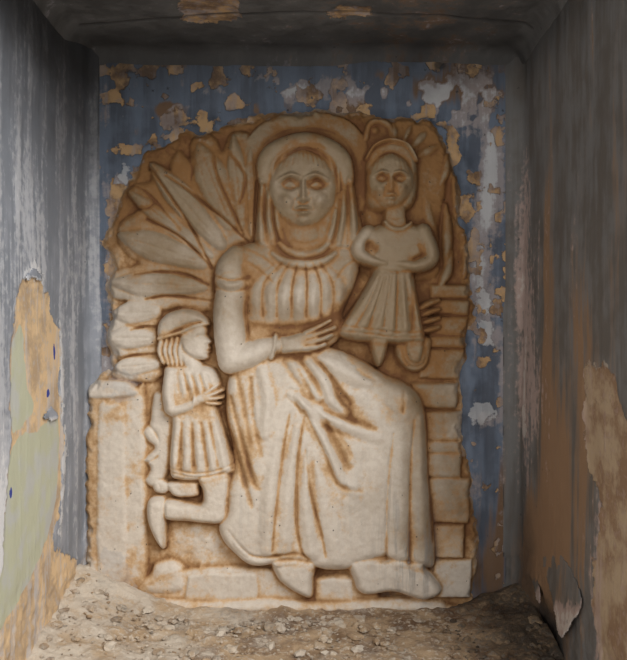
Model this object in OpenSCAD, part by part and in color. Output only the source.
// Niche of a wayside shrine: a block of masonry with a plastered recess, and a carved stone relief in it.
// X runs to the right, Y into the niche and Z up. The origin is the middle of the underside. Millimetres.

/* [Niche] */
// Width of the recess between its plastered cheeks
niche_w = 622; // [600:2:680]
// Height of the recess from the mortar bed to the ceiling plaster
niche_h = 795; // [770:5:900]
// Depth of the recess from the front face to the back plaster
niche_d = 420; // [360:5:520]

/* [Masonry] */
// Thickness of the masonry of each cheek
cheek_t = 130; // [90:5:240]
// Thickness of the masonry behind the recess
back_t = 140; // [90:5:260]
// Height of the bottom course
footing_h = 110; // [80:5:200]
// Thickness of the stone sill
sill_t = 40; // [25:1:70]
// Height of the lintel slab
lintel_h = 100; // [70:5:180]

/* [Coats] */
// Thickness of the plaster inside the recess
plaster_t = 18; // [10:1:28]
// Thickness of the render outside
render_t = 15; // [8:1:25]
// Radius of the coving in the corners of the recess
coving_r = 24; // [10:1:40]
// Radius of the rounded arris at the mouth of the recess
arris_r = 9; // [3:1:14]
// Thickness of the mortar bed on the sill
bed_t = 12; // [6:1:20]
// Height of the mortar heap in the left corner
left_heap_h = 62; // [20:2:90]
// Width of the mortar heap in the left corner
left_heap_w = 150; // [120:2:180]
// How far the left heap runs forward along the cheek
left_heap_run = 300; // [200:5:340]
// Height of the mortar heap in the right corner
right_heap_h = 34; // [15:1:60]
// Width of the mortar heap in the right corner
right_heap_w = 110; // [95:2:150]
// How far the right heap runs forward along the cheek
right_heap_run = 230; // [150:5:300]

/* [Relief] */
// Plaster left bare between the carved slab and each cheek
side_margin = 45; // [38:1:70]
// Plaster left bare between the carved slab and the ceiling
top_margin = 95; // [60:5:140]
// How far the slab's middle lies to the left of the niche's
relief_shift = 11; // [0:1:20]
// How far the ground of the relief stands out of the back plaster
ground_proud = 8; // [3:1:16]
// Depth of the carving in front of that ground
carving_d = 50; // [30:1:70]
// Width of the mortar joint round the slab
joint_w = 12; // [6:1:16]

/* [Hidden] */

// Places along the three axes, worked out from the sizes above
total_w = niche_w + 2 * (plaster_t + cheek_t + render_t);
total_d = niche_d + plaster_t + back_t + render_t;
floor_z = footing_h + sill_t + bed_t;
ceiling_z = floor_z + niche_h;
lintel_z = ceiling_z + plaster_t;
total_h = lintel_z + lintel_h;
front_y = -total_d / 2;
core_front_y = front_y + render_t;
plaster_y = front_y + niche_d;
core_back_y = plaster_y + plaster_t;
core_end_y = core_back_y + back_t;
half_niche = niche_w / 2;
half_core = half_niche + plaster_t;
half_block = half_core + cheek_t;
slab_t = plaster_t + ground_proud;

// The carving is drawn 532 wide, 700 high and 50 deep, and takes the size of the real slab
relief_w = niche_w - 2 * side_margin;
relief_h = niche_h - top_margin;
across_k = relief_w / 532;
up_k = relief_h / 700;
depth_k = carving_d / 50;
section_steps = 5;
tongue_reach = 0.4;
tongue_share = 0.8;

stone = [0.86, 0.80, 0.68];
stained_stone = [0.74, 0.60, 0.42];
blue_plaster = [0.47, 0.52, 0.58];
grey_plaster = [0.40, 0.39, 0.38];
masonry = [0.66, 0.60, 0.50];
limewash = [0.78, 0.76, 0.71];
mortar = [0.62, 0.54, 0.43];

// Edge of the slab, from its lower left corner, as hand cut
slab_outline = [
    [-290, 0], [-291, 60], [-290, 322], [-252, 330], [-262, 381], [-250, 451], [-259, 500], [-256, 570],
    [-240, 604], [-209, 636], [-146, 671], [-104, 682], [-62, 697], [20, 700], [92, 700], [160, 697], [205, 682],
    [230, 636], [246, 577], [247, 500], [258, 437], [242, 372], [240, 297], [236, 240], [244, 185], [262, 101],
    [256, 17], [250, 0]
];

// A point of a smooth curve through b and c, with a before them and d after them
function curve_point(a, b, c, d, t) =
    0.5 * (2 * b + (c - a) * t + (2 * a - 5 * b + 4 * c - d) * t * t + (3 * b - a - 3 * c + d) * t * t * t);

function closed_curve(p, steps) =
    let (n = len(p))
    [for (i = [0 : n - 1]) for (s = [0 : steps - 1])
        curve_point(p[(i + n - 1) % n], p[i], p[(i + 1) % n], p[(i + 2) % n], s / steps)];

function open_curve(p, steps) =
    let (n = len(p))
    [for (i = [0 : n - 2]) for (s = [0 : (i == n - 2 ? steps : steps - 1)])
        curve_point(p[max(i - 1, 0)], p[i], p[i + 1], p[min(i + 2, n - 1)], s / steps)];

function turned_area(p) =
    let (n = len(p))
    [for (i = 0, s = 0; i <= n; s = s + (i < n ? cross(p[i], p[(i + 1) % n]) : 0), i = i + 1) s][n];

function outward(p) = turned_area(p) < 0 ? [for (i = [len(p) - 1 : -1 : 0]) p[i]] : p;

function edge_normal(a, b) = let (d = b - a) [d.y, -d.x] / max(norm(d), 0.001);

// The loop moved inwards by d, with its corners kept from running away
function inset_loop(p, d) =
    let (n = len(p))
    [for (i = [0 : n - 1])
        let (m = edge_normal(p[(i + n - 1) % n], p[i]) + edge_normal(p[i], p[(i + 1) % n]))
        p[i] - d * m / max(m * m / 2, 0.7)];

// Puts its children on the front of the slab: X right, Y up the slab and Z out of the wall
module on_slab() {
    translate([-relief_shift, plaster_y - ground_proud, floor_z]) rotate([90, 0, 0]) children();
}

// A cushion-shaped form with the given outline, rising from base, with a rounded shoulder
module form(outline, base, rise, shoulder, steps = 2) {
    drawn = outward(steps > 1 ? closed_curve(outline, steps) : outline);
    n = len(drawn);
    profile = [[0, 0], [0, 0.5], [0.3, 0.84], [1, 1]];
    points = [for (level = profile) for (p = inset_loop(drawn, level[0] * shoulder))
        [p.x * across_k, p.y * up_k, (base + level[1] * rise) * depth_k]];
    sides = [for (k = [0 : len(profile) - 2]) for (i = [0 : n - 1])
        let (a = k * n + i, b = k * n + (i + 1) % n)
        each [[a, b + n, b], [a, a + n, b + n]]];
    polyhedron(points, concat([[for (i = [0 : n - 1]) i]], sides,
        [[for (i = [n - 1 : -1 : 0]) (len(profile) - 1) * n + i]]));
}

// A low dome over an ellipse
module dome(middle, rx, ry, base, rise, around = 20, up = 4) {
    points = concat(
        [for (k = [0 : up - 1]) for (i = [0 : around - 1])
            let (t = 90 * k / up, a = 360 * i / around)
            [(middle.x + rx * cos(t) * cos(a)) * across_k, (middle.y + ry * cos(t) * sin(a)) * up_k,
             (base + rise * sin(t)) * depth_k]],
        [[middle.x * across_k, middle.y * up_k, (base + rise) * depth_k]]);
    last = (up - 1) * around;
    sides = [for (k = [0 : up - 2]) for (i = [0 : around - 1])
        let (a = k * around + i, b = k * around + (i + 1) % around)
        each [[a, b + around, b], [a, a + around, b + around]]];
    crown = [for (i = [0 : around - 1]) [last + i, up * around, last + (i + 1) % around]];
    polyhedron(points, concat([[for (i = [0 : around - 1]) i]], sides, crown));
}

// One half-round section across a stroke whose way is run: p is its middle, half width and height
function stroke_section(p, run, base) =
    let (across = [-run[1], run[0]] / max(norm([run[0], run[1]]), 0.001))
    [for (i = [0 : section_steps])
        let (a = 180 * i / section_steps, x = p[0] + p[2] * cos(a) * across.x, y = p[1] + p[2] * cos(a) * across.y)
        [x * across_k, y * up_k, (base + p[3] * sin(a)) * depth_k]];

// The section a little way on and a little smaller, which lies well inside the next length of the stroke
function tongue_section(p, run, base) =
    let (ahead = tongue_reach * run / max(norm([run[0], run[1]]), 0.001))
    stroke_section([p[0] + ahead[0], p[1] + ahead[1], tongue_share * p[2], tongue_share * p[3]], run,
        base + (1 - tongue_share) * p[3] / 2);

// A half-round ridge along a curve, for limbs, folds, fingers and leaves: points are [x, y, half width, height]
module stroke(path, base = 0, steps = 2) {
    line = steps > 1 ? open_curve(path, steps) : path;
    last = len(line) - 1;
    runs = [for (j = [0 : last]) line[min(j + 1, last)] - line[max(j - 1, 0)]];
    sections = [for (j = [0 : last]) stroke_section(line[j], runs[j], base)];
    for (i = [0 : last - 1]) {
        points = concat(sections[i], sections[i + 1],
            i + 1 < last ? tongue_section(line[i + 1], runs[i + 1], base) : []);
        hull() polyhedron(points, [[for (k = [0 : len(points) - 1]) k], [0, section_steps, section_steps + 1]]);
    }
}

module leaf(root, tip, half_w, rise) {
    belly = root + (tip - root) * 0.55;
    stroke([
        [root.x, root.y, half_w * 0.35, rise * 0.8],
        [belly.x, belly.y, half_w, rise],
        [tip.x, tip.y, half_w * 0.12, rise * 0.3]
    ]);
}

// The first child, less what stands in front of it
module behind() {
    difference() {
        children(0);
        children([1 : $children - 1]);
    }
}

module box(low, high) {
    translate(low) cube(high - low);
}

// The masonry

module footing_course() {
    color(masonry) box([-half_block, core_front_y, 0], [half_block, core_end_y, footing_h]);
}

module sill_slab() {
    color(stained_stone) box([-half_core, core_front_y, footing_h], [half_core, core_back_y, footing_h + sill_t]);
}

module cheek(side) {
    color(masonry) translate([side > 0 ? half_core : -half_block, core_front_y, footing_h])
        cube([cheek_t, core_end_y - core_front_y, lintel_z - footing_h]);
}

module back_wall() {
    color(masonry) box([-half_core, core_back_y, footing_h], [half_core, core_end_y, lintel_z]);
}

module lintel_slab() {
    color(masonry) box([-half_block, core_front_y, lintel_z], [half_block, core_end_y, total_h]);
}

// The plaster in the recess

// Cheek plaster, its front arris rounded into the mouth of the recess
module cheek_plaster(side) {
    color(blue_plaster) mirror([side > 0 ? 0 : 1, 0, 0]) difference() {
        box([half_niche, core_front_y, footing_h + sill_t], [half_core, core_back_y, ceiling_z]);
        translate([0, 0, footing_h]) arris_cut(half_niche, core_front_y, niche_h + sill_t + 2 * bed_t);
    }
}

// What rounding takes off an edge that runs up at x, y
module arris_cut(x, y, length) {
    translate([x, y, 0]) difference() {
        translate([-1, -1, 0]) cube([arris_r + 1, arris_r + 1, length]);
        translate([arris_r, arris_r, -1]) cylinder(r = arris_r, h = length + 2, $fn = 48);
    }
}

module ceiling_plaster() {
    color(grey_plaster) difference() {
        box([-half_core, core_front_y, ceiling_z], [half_core, core_back_y, lintel_z]);
        translate([-total_w, core_front_y, ceiling_z]) rotate([0, 90, 0]) mirror([1, 0, 0])
            arris_cut(0, 0, 2 * total_w);
    }
}

// Outline of the slab at its real size, grown by margin, and cut off at the cheeks
module slab_shape(margin) {
    intersection() {
        offset(delta = margin) polygon([for (p = slab_outline) [p.x * across_k, p.y * up_k]]);
        translate([relief_shift - half_niche, -total_h]) square([niche_w, 3 * total_h]);
    }
}

module slab_prism(margin, back, front) {
    on_slab() translate([0, 0, back]) linear_extrude(front - back)
        intersection() {
            slab_shape(margin);
            translate([-total_w, -bed_t]) square([2 * total_w, total_h]);
        }
}

// The back plaster is laid in three parts, which meet behind the slab and level with its shoulders
split_x = relief_w * 0.38;
split_z = floor_z + relief_h * 0.86;

module back_coat(low, high) {
    color(blue_plaster) difference() {
        box([low.x, plaster_y, low.y], [high.x, core_back_y, high.y]);
        slab_prism(joint_w, -slab_t - 1, ground_proud + 1);
    }
}

module back_plaster_left() {
    back_coat([-half_niche, footing_h + sill_t], [-split_x, split_z]);
}

module back_plaster_right() {
    back_coat([split_x, footing_h + sill_t], [half_niche, split_z]);
}

module back_plaster_top() {
    back_coat([-half_niche, split_z], [half_niche, ceiling_z]);
}

// A hollow fillet between two faces that meet at a right angle, with its corner on the Z axis
module coving(length) {
    difference() {
        cube([coving_r, coving_r, length]);
        translate([coving_r, coving_r, -1]) cylinder(r = coving_r, h = length + 2, $fn = 48);
    }
}

module side_covings() {
    color(blue_plaster) for (side = [0, 1]) difference() {
        mirror([side, 0, 0]) translate([half_niche, plaster_y, floor_z])
            rotate([0, 0, 180]) coving(niche_h);
        slab_prism(joint_w, -slab_t - 1, coving_r + 1);
    }
}

module ceiling_coving() {
    color(grey_plaster) translate([half_niche - coving_r, plaster_y, ceiling_z]) rotate([0, -90, 0])
        rotate([0, 0, 180]) coving(niche_w - 2 * coving_r);
}

// The render outside

module side_render(side) {
    color(limewash) mirror([side > 0 ? 0 : 1, 0, 0])
        box([half_block, front_y, 0], [half_block + render_t, core_end_y + render_t, total_h]);
}

module back_render() {
    color(limewash) box([-half_block, core_end_y, 0], [half_block, core_end_y + render_t, total_h]);
}

module jamb_render(side) {
    color(limewash) mirror([side > 0 ? 0 : 1, 0, 0]) difference() {
        box([half_niche + arris_r, front_y, footing_h], [half_block, core_front_y, lintel_z]);
        translate([0, 0, footing_h - 1]) arris_cut(half_niche + arris_r, front_y, lintel_z);
    }
}

module head_render() {
    color(limewash) box([-half_block, front_y, lintel_z], [half_block, core_front_y, total_h]);
}

module apron_render() {
    color(limewash) box([-half_block, front_y, 0], [half_block, core_front_y, footing_h]);
}

// The mortar

module mortar_bed() {
    color(mortar) difference() {
        box([-half_niche, core_front_y, footing_h + sill_t], [half_niche, plaster_y, floor_z]);
        slab_prism(joint_w, -slab_t - 1, ground_proud);
    }
}

// A heap that fills a lower corner, highest at the back and running out towards the mouth
module heap(side, height, reach, forward) {
    tail = height * 0.25;
    difference() {
        mirror([side > 0 ? 0 : 1, 0, 0]) hull() {
            translate([half_niche - 1, plaster_y - 2, floor_z]) cube([1, 2, height]);
            translate([half_niche - reach, plaster_y - 2, floor_z]) cube([1, 2, tail]);
            translate([half_niche - reach * 0.45, plaster_y - forward * 0.4, floor_z])
                scale([reach * 0.4, forward * 0.28, height * 0.42]) dome_cap();
            translate([half_niche - 1, plaster_y - forward, floor_z]) cube([1, 1, tail * 0.5]);
        }
        slab_prism(joint_w, -slab_t - 1, carving_d);
        mirror([side > 0 ? 0 : 1, 0, 0]) translate([half_niche, plaster_y, floor_z - 1])
            rotate([0, 0, 180]) coving(height + 2);
    }
}

module corner_mortar() {
    color(mortar) {
        heap(-1, left_heap_h, left_heap_w, left_heap_run);
        heap(1, right_heap_h, right_heap_w, right_heap_run);
    }
}

module dome_cap() {
    intersection() {
        sphere(r = 1, $fn = 20);
        translate([-1, -1, 0]) cube([2, 2, 1]);
    }
}

module relief_joint() {
    color(mortar) difference() {
        slab_prism(joint_w, -slab_t, ground_proud * 0.25);
        slab_prism(0, -slab_t - 1, ground_proud + 1);
        on_slab() translate([-total_w, -2 * bed_t, -slab_t - 1]) cube([2 * total_w, bed_t * 2, slab_t * 2]);
    }
}

// The relief

module relief_slab() {
    color(stained_stone) on_slab() translate([0, 0, -slab_t])
        linear_extrude(slab_t) slab_shape(0);
}

module relief_ledge() {
    color(stone) on_slab() {
        form([[-232, 1], [-236, 8], [-228, 16], [0, 17], [200, 16], [222, 9], [214, 1]], 0, 30, 5, 1);
        form([[-148, 19], [-149, 50], [-142, 54], [-60, 56], [-52, 50], [-50, 19]], 0, 22, 4, 1);
        dome([-190, 46], 34, 27, 0, 22);
    }
}

module pilaster() {
    color(stone) on_slab() {
        form([[-284, 24], [-285, 294], [-227, 294], [-227, 60], [-234, 24]], 0, 9, 4, 1);
        form([[-278, 62], [-279, 288], [-236, 288], [-236, 62]], 0, 22, 5, 1);
        form([[-285, 297], [-286, 318], [-256, 324], [-218, 320], [-216, 298]], 0, 26, 5, 1);
    }
}

module shrub() {
    color(stone) on_slab() behind() {
        union() {
            leaf([-200, 172], [-196, 286], 13, 14);
            leaf([-204, 232], [-219, 262], 9, 12);
            leaf([-206, 200], [-222, 220], 9, 12);
            leaf([-206, 170], [-219, 190], 8, 10);
        }
        kneeler_arm_form();
        kneeler_dress_form();
    }
}

// Outline of a broad leaf, whose sides bow out between its root and its tip
function blade_outline(root, tip, half_w) =
    let (run = tip - root, side = [-run.y, run.x] * half_w / norm(run))
    concat(
        [for (b = blade_sides) root + b[0] * run + b[1] * side],
        [tip],
        [for (i = [len(blade_sides) - 1 : -1 : 0]) root + blade_sides[i][0] * run - blade_sides[i][1] * side]
    );

// A broad leaf with a ridge along its middle and a raised rib on each side of it
module blade(root, tip, half_w, rise) {
    run = tip - root;
    side = [-run.y, run.x] * half_w / norm(run);
    form(blade_outline(root, tip, half_w), 0, rise, half_w * 0.4, 1);
    stroke([for (b = [[0.1, 0.12], [0.55, 0.3], [0.9, 0.1]])
        [root.x + b[0] * run.x, root.y + b[0] * run.y, b[1] * half_w, rise * 0.35]], rise * 0.85, 1);
}

// Share of a broad leaf's length, and of its half width, at the points down each side
blade_sides = [[0, 0.4], [0.35, 0.8], [0.7, 1], [0.9, 0.62]];

// The broad leaves of the fan, as [root, tip, half width, rise]
fan_blades = [
    [[-60, 530], [-62, 682], 14, 10], [[-74, 542], [-94, 672], 17, 12], [[-84, 532], [-142, 660], 30, 11],
    [[-92, 516], [-202, 624], 23, 15], [[-112, 498], [-230, 592], 20, 11], [[-118, 482], [-248, 532], 25, 13],
    [[-112, 456], [-244, 466], 21, 12], [[-112, 434], [-242, 422], 17, 10], [[-186, 398], [-254, 386], 14, 12],
    [[-188, 372], [-250, 362], 12, 10], [[-188, 348], [-244, 342], 12, 11]
];

module leaf_fan_form() {
    form([[-52, 514], [-52, 600], [-80, 602], [-118, 560], [-158, 514], [-172, 470], [-164, 428], [-112, 426],
          [-106, 480], [-80, 512]], 0, 7, 6, 1);
    for (b = fan_blades)
        blade(b[0], b[1], b[2], b[3]);
    dome([-130, 658], 12, 11, 0, 14, 10, 2);
    dome([-250, 392], 10, 11, 0, 15, 10, 2);
}

module leaf_fan() {
    color(stained_stone) on_slab() behind() {
        leaf_fan_form();
        woman_arm_form();
        woman_bodice_form();
        woman_veil_form();
        halo_form();
        kneeler_head_form();
    }
}

module halo_form() {
    stroke([[-56, 610, 9, 9], [-54, 650, 11, 11], [-28, 679, 12, 12], [16, 686, 12, 12],
            [62, 678, 12, 12], [88, 646, 10, 11], [92, 606, 8, 9]], 0, 3);
}

module halo_band() {
    color(stained_stone) on_slab() behind() {
        halo_form();
        woman_veil_form();
        child_head_form();
    }
}

module child_leaves() {
    color(stained_stone) on_slab() behind() {
        union() {
            leaf([122, 655], [104, 690], 9, 11);
            leaf([134, 658], [133, 688], 9, 12);
            leaf([148, 656], [160, 683], 9, 12);
            leaf([160, 648], [184, 675], 9, 11);
            leaf([170, 632], [204, 650], 9, 11);
            leaf([200, 512], [192, 592], 11, 13);
            leaf([230, 505], [228, 586], 11, 12);
            leaf([216, 470], [212, 522], 9, 9);
        }
        halo_form();
        child_head_form();
        child_dress_form();
        child_arms_form();
    }
}

// Courses of the seat behind the figures, as [left, bottom, right, top]
throne_blocks = [
    [208, 441, 240, 458], [208, 417, 241, 438], [210, 392, 240, 414], [208, 372, 237, 389], [196, 326, 233, 369],
    [196, 283, 232, 322], [194, 241, 233, 279], [194, 221, 230, 238], [196, 189, 232, 218],
    [198, 130, 238, 186], [204, 74, 244, 126], [216, 20, 246, 70]
];

module throne_courses() {
    color(stained_stone) on_slab() behind() {
        for (b = throne_blocks)
            form([[b[0], b[1]], [b[2], b[1] + 2], [b[2] - 2, b[3]], [b[0] + 1, b[3] - 2]], 0, 13, 4, 1);
        woman_robe_form();
        woman_far_hand_form();
        woman_feet_form();
    }
}

// The seated woman

// Nose, brows, closed eyelids and lips, for a face of half width rx about its middle
module features(middle, rx, front) {
    k = rx / 48;
    stroke([[middle.x, middle.y + 14 * k, 3 * k, 5], [middle.x, middle.y - 2 * k, 4.5 * k, 9],
            [middle.x, middle.y - 13 * k, 7.5 * k, 12]], front - 7, 1);
    for (side = [-1, 1]) {
        stroke([[middle.x + side * 7 * k, middle.y + 13 * k, 2 * k, 5],
                [middle.x + side * 19 * k, middle.y + 18 * k, 3 * k, 6],
                [middle.x + side * 32 * k, middle.y + 12 * k, 2 * k, 3]], front - 8, 1);
        stroke([[middle.x + side * 9 * k, middle.y + 3 * k, 2 * k, 3],
                [middle.x + side * 18 * k, middle.y + 5 * k, 6 * k, 8],
                [middle.x + side * 27 * k, middle.y + 2 * k, 2 * k, 3]], front - 9, 1);
    }
    stroke([[middle.x - 11 * k, middle.y - 28 * k, 2 * k, 4], [middle.x, middle.y - 28 * k, 4.5 * k, 8],
            [middle.x + 11 * k, middle.y - 28 * k, 2 * k, 4]], front - 8, 1);
}

module woman_head_form() {
    dome([15, 594], 49, 57, 0, 45);
    stroke([[13, 548, 22, 32], [13, 522, 21, 30], [13, 498, 25, 28]], 0, 1);
    features([15, 594], 48, 42);
}

module woman_head() {
    color(stone) on_slab() behind() {
        woman_head_form();
        woman_veil_form();
    }
}

// Raised strands down the falls of the veil, as [foot, height of the foot, middle, top]
veil_falls = [[-51, 512, -46, -42], [-38, 510, -38, -37], [-26, 514, -32, -34], [82, 522, 79, 74], [68, 518, 68, 67],
    [52, 514, 58, 61]];

module woman_veil_form() {
    stroke([[-40, 508, 19, 31], [-41, 555, 15, 35], [-39, 600, 13, 38], [-32, 634, 13, 40], [-12, 656, 15, 42],
            [15, 663, 15, 43], [42, 656, 15, 42], [62, 634, 14, 40], [70, 600, 14, 38], [70, 558, 16, 35],
            [68, 514, 22, 31]]);
    for (fall = veil_falls)
        stroke([[fall[0], fall[1], 5, 37], [fall[2], 566, 4, 43], [fall[3], 616, 2.5, 42]], 0, 1);
}

module woman_veil() {
    color(stone) on_slab() woman_veil_form();
}

module woman_bodice_form() {
    form([[-66, 512], [-40, 520], [-14, 506], [13, 498], [40, 506], [64, 520], [92, 504], [90, 470],
          [78, 440], [66, 416], [36, 402], [0, 394], [-40, 396], [-60, 406], [-64, 440], [-70, 475]],
         0, 32, 14, 1);
    for (i = [0 : 5])
        stroke([[-34 + 15 * i, 478 - abs(i - 2) * 2, 3, 3], [-40 + 18 * i, 446, 5, 6],
                [-42 + 18 * i, 416, 3, 3]], 30, 1);
    stroke([[-26, 508, 4, 6], [-8, 490, 6, 9], [14, 484, 6, 9], [36, 490, 6, 9], [54, 508, 4, 6]], 28, 1);
    stroke([[-58, 402, 6, 8], [-16, 395, 7, 9], [26, 402, 7, 9], [64, 420, 5, 8]], 27, 1);
}

module woman_bodice() {
    color(stone) on_slab() behind() {
        woman_bodice_form();
        woman_head_form();
        woman_veil_form();
        woman_arm_form();
        woman_hand_form();
        child_dress_form();
        child_arms_form();
    }
}

module woman_arm_form() {
    stroke([[-82, 500, 16, 30], [-89, 466, 26, 42], [-89, 420, 27, 44], [-86, 380, 26, 43],
            [-82, 356, 22, 40]], 0, 1);
    stroke([[-90, 352, 18, 38], [-62, 360, 24, 43], [-40, 368, 19, 42], [-24, 372, 16, 40]], 0, 1);
    stroke([[-104, 462, 5, 40], [-84, 452, 6, 48], [-62, 456, 5, 40]], 0, 1);
    stroke([[-29, 352, 4, 38], [-25, 372, 5, 46], [-22, 390, 4, 38]], 0, 1);
}

module woman_hand_form() {
    stroke([[-22, 373, 15, 38], [4, 380, 18, 40], [22, 386, 15, 38]], 0, 1);
    stroke([[10, 392, 5, 42], [34, 400, 5, 41], [54, 408, 4, 38]], 0, 1);
    stroke([[18, 386, 5, 42], [40, 391, 5, 41], [60, 397, 4, 38]], 0, 1);
    stroke([[16, 378, 5, 42], [38, 380, 5, 41], [54, 384, 4, 38]], 0, 1);
    stroke([[10, 370, 5, 42], [30, 368, 5, 40], [42, 370, 4, 38]], 0, 1);
}

module woman_near_arm() {
    color(stone) on_slab() behind() {
        union() {
            woman_arm_form();
            woman_hand_form();
        }
        child_dress_form();
    }
}

module woman_far_hand_form() {
    for (i = [0 : 3])
        stroke([[176, 388 + 9 * i, 5, 26], [190, 386 + 12 * i, 5, 25], [205, 383 + 16 * i, 3, 20]], 0, 1);
}

module woman_far_hand() {
    color(stone) on_slab() behind() {
        woman_far_hand_form();
        child_dress_form();
        child_arms_form();
    }
}

module woman_robe_form() {
    form([[-86, 332], [-82, 286], [-76, 240], [-79, 196], [-96, 150], [-104, 120], [-97, 98], [-82, 80],
          [-52, 66], [-8, 72], [32, 63], [66, 58], [82, 61], [104, 69], [124, 72], [150, 68], [176, 62],
          [197, 70], [193, 110], [190, 180], [185, 250], [181, 286], [168, 304], [150, 322], [118, 342],
          [70, 380], [20, 396], [-30, 394], [-66, 362]], 0, 34, 12, 1);
    stroke([[146, 300, 30, 10], [150, 240, 34, 12], [146, 160, 34, 10], [146, 92, 36, 8]], 33, 1);
    stroke([[-38, 322, 24, 8], [-48, 250, 26, 9], [-44, 170, 30, 8], [-40, 100, 34, 7]], 33, 1);
    stroke([[-44, 338, 5, 7], [0, 304, 7, 10], [38, 242, 6, 10], [66, 176, 4, 5]], 32, 1);
    stroke([[-10, 346, 5, 7], [34, 300, 7, 10], [64, 268, 6, 9], [108, 256, 3, 4]], 32, 1);
    stroke([[18, 352, 5, 7], [64, 316, 7, 10], [110, 300, 4, 5]], 33, 1);
    stroke([[-14, 280, 4, 5], [-20, 200, 5, 9], [-24, 86, 6, 8]], 32, 1);
    stroke([[10, 272, 4, 5], [10, 180, 6, 10], [14, 76, 7, 8]], 32, 1);
    stroke([[22, 226, 3, 5], [36, 150, 6, 9], [44, 72, 7, 8]], 32, 1);
    stroke([[168, 272, 4, 8], [168, 170, 5, 10], [166, 74, 6, 9]], 36, 1);
    stroke([[128, 262, 4, 8], [126, 170, 5, 10], [122, 80, 6, 9]], 36, 1);
    stroke([[-102, 118, 6, 26], [-88, 86, 7, 30], [-52, 70, 7, 34], [-8, 76, 7, 36]], 0, 1);
}

module woman_robe() {
    color(stone) on_slab() behind() {
        woman_robe_form();
        woman_bodice_form();
        woman_arm_form();
        woman_hand_form();
        child_dress_form();
        child_feet_form();
    }
}

module woman_feet_form() {
    form([[-32, 84], [-24, 46], [-8, 30], [12, 20], [26, 18], [29, 42], [27, 84]], 0, 30, 8, 1);
    form([[82, 84], [84, 36], [96, 26], [120, 23], [150, 26], [178, 19], [198, 22], [206, 32],
          [200, 46], [186, 62], [184, 84]], 0, 32, 8, 1);
}

module woman_feet() {
    color(stone) on_slab() behind() {
        woman_feet_form();
        woman_robe_form();
    }
}

// The standing child

module child_head_form() {
    dome([136, 600], 31, 38, 0, 40, 18, 4);
    stroke([[140, 570, 13, 32], [141, 542, 14, 32]], 0, 1);
    stroke([[104, 572, 5, 26], [103, 604, 6, 30], [108, 632, 7, 32], [122, 650, 7, 32], [138, 655, 7, 32],
            [154, 650, 7, 32], [167, 630, 7, 32], [171, 602, 6, 30], [168, 574, 5, 26]], 0, 1);
    features([136, 600], 30, 38);
}

module child_head() {
    color(stone) on_slab() behind() {
        child_head_form();
        woman_veil_form();
    }
}

module child_dress_form() {
    form([[98, 526], [112, 538], [130, 542], [152, 542], [172, 538], [190, 526], [186, 508], [174, 492],
          [166, 478], [170, 458], [176, 430], [183, 400], [188, 382], [180, 374], [150, 371], [118, 374],
          [82, 380], [62, 388], [66, 400], [78, 418], [90, 438], [104, 460], [113, 478], [106, 500]],
         0, 36, 8, 1);
    stroke([[124, 474, 4, 6], [108, 430, 7, 9], [92, 388, 8, 7]], 33, 1);
    stroke([[136, 474, 4, 6], [126, 430, 5, 8], [118, 384, 7, 7]], 33, 1);
    stroke([[152, 474, 5, 7], [156, 430, 9, 10], [160, 384, 10, 8]], 33, 1);
    stroke([[64, 392, 4, 5], [104, 383, 5, 8], [150, 379, 5, 8], [186, 384, 4, 5]], 33, 1);
}

module child_dress() {
    color(stone) on_slab() behind() {
        child_dress_form();
        child_arms_form();
        child_head_form();
        woman_veil_form();
    }
}

module child_arms_form() {
    stroke([[104, 526, 11, 38], [88, 510, 12, 43], [98, 494, 11, 46], [124, 490, 8, 46]], 0, 1);
    stroke([[184, 524, 12, 38], [194, 502, 12, 43], [188, 484, 12, 45], [160, 484, 10, 47],
            [134, 482, 8, 46]], 0, 1);
}

module child_feet_form() {
    stroke([[118, 384, 12, 34], [119, 364, 10, 38], [121, 346, 4, 30]], 0, 1);
    stroke([[160, 384, 11, 34], [162, 362, 13, 40], [168, 346, 8, 34]], 0, 1);
    stroke([[146, 356, 3, 36], [158, 340, 4, 36], [178, 338, 4, 36], [186, 352, 3, 34]], 0, 1);
}

module child_limbs() {
    color(stone) on_slab() {
        behind() {
            child_arms_form();
            woman_veil_form();
        }
        behind() {
            child_feet_form();
            child_dress_form();
        }
    }
}

// The kneeling child

module kneeler_head_form() {
    dome([-154, 386], 33, 37, 0, 27, 18, 4);
    form([[-150, 402], [-126, 402], [-120, 392], [-119, 384], [-114, 374], [-119, 370], [-118, 363], [-120, 358],
          [-124, 350], [-138, 346], [-156, 352]], 0, 24, 6, 1);
    form([[-190, 384], [-191, 404], [-180, 420], [-160, 428], [-140, 426], [-124, 417], [-117, 403],
          [-134, 398], [-160, 390], [-176, 386]], 0, 31, 7, 1);
    for (i = [0 : 2])
        stroke([[-182 + 9 * i, 388, 4, 25], [-186 + 9 * i, 366, 5, 26], [-178 + 7 * i, 348, 3, 20]], 0, 1);
    stroke([[-150, 356, 12, 24], [-150, 336, 14, 24]], 0, 1);
}

module kneeler_head() {
    color(stone) on_slab() kneeler_head_form();
}

module kneeler_dress_form() {
    form([[-186, 336], [-168, 346], [-148, 346], [-122, 344], [-106, 332], [-99, 305], [-100, 281],
          [-93, 246], [-84, 208], [-85, 195], [-106, 188], [-138, 184], [-165, 187], [-177, 194],
          [-178, 230], [-177, 268], [-182, 300]], 0, 25, 8, 1);
    for (i = [0 : 3])
        stroke([[-162 + 17 * i, 268, 3, 4], [-165 + 20 * i, 236, 5, 7], [-167 + 22 * i, 204, 6, 6]], 23, 1);
    stroke([[-176, 200, 5, 7], [-140, 191, 5, 9], [-108, 195, 5, 9], [-86, 201, 4, 7]], 21, 1);
    for (i = [0 : 2])
        stroke([[-150 + 14 * i, 340, 3, 4], [-152 + 15 * i, 316, 4, 6]], 22, 1);
}

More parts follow.
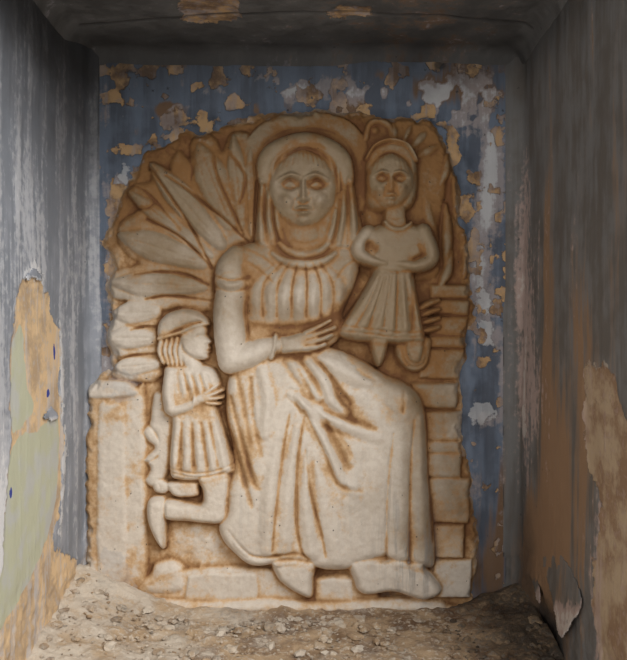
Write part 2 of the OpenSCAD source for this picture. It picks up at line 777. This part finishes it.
module kneeler_dress() {
    color(stone) on_slab() behind() {
        kneeler_dress_form();
        kneeler_arm_form();
        kneeler_head_form();
    }
}

module kneeler_arm_form() {
    stroke([[-178, 330, 11, 30], [-177, 304, 13, 35], [-170, 280, 14, 36], [-150, 285, 12, 36],
            [-132, 298, 9, 33]], 0, 1);
    stroke([[-132, 300, 11, 34], [-118, 304, 10, 33]], 0, 1);
    for (i = [0 : 3])
        stroke([[-124, 292 + 6 * i, 3.5, 34], [-102, 286 + 11 * i, 3, 29]], 0, 1);
}

module kneeler_legs_form() {
    form([[-136, 200], [-95, 204], [-93, 160], [-95, 130], [-106, 120], [-130, 123], [-180, 131],
          [-180, 158], [-150, 156], [-136, 154], [-132, 164]], 0, 24, 7, 1);
    form([[-174, 180], [-140, 180], [-138, 164], [-172, 163]], 0, 17, 5, 1);
    stroke([[-190, 160, 14, 24], [-193, 136, 14, 25], [-191, 112, 11, 22], [-187, 88, 5, 16]], 0, 2);
    stroke([[-192, 178, 8, 13], [-176, 172, 8, 13]], 0, 1);
    stroke([[-104, 182, 7, 7], [-106, 138, 9, 8], [-170, 145, 7, 6]], 22, 1);
}

module kneeler_limbs() {
    color(stone) on_slab() {
        kneeler_arm_form();
        behind() {
            kneeler_legs_form();
            kneeler_dress_form();
            woman_robe_form();
        }
    }
}

footing_course();
sill_slab();
cheek(-1);  // left_cheek
cheek(1);  // right_cheek
back_wall();
lintel_slab();
cheek_plaster(-1);  // left_plaster
cheek_plaster(1);  // right_plaster
ceiling_plaster();
back_plaster_left();
back_plaster_right();
back_plaster_top();
side_covings();
ceiling_coving();
side_render(-1);  // left_side_render
side_render(1);  // right_side_render
back_render();
jamb_render(-1);  // left_jamb_render
jamb_render(1);  // right_jamb_render
head_render();
apron_render();
mortar_bed();
corner_mortar();
relief_joint();
relief_slab();
relief_ledge();
pilaster();
shrub();
leaf_fan();
halo_band();
child_leaves();
throne_courses();
woman_head();
woman_veil();
woman_bodice();
woman_near_arm();
woman_far_hand();
woman_robe();
woman_feet();
child_head();
child_dress();
child_limbs();
kneeler_head();
kneeler_dress();
kneeler_limbs();
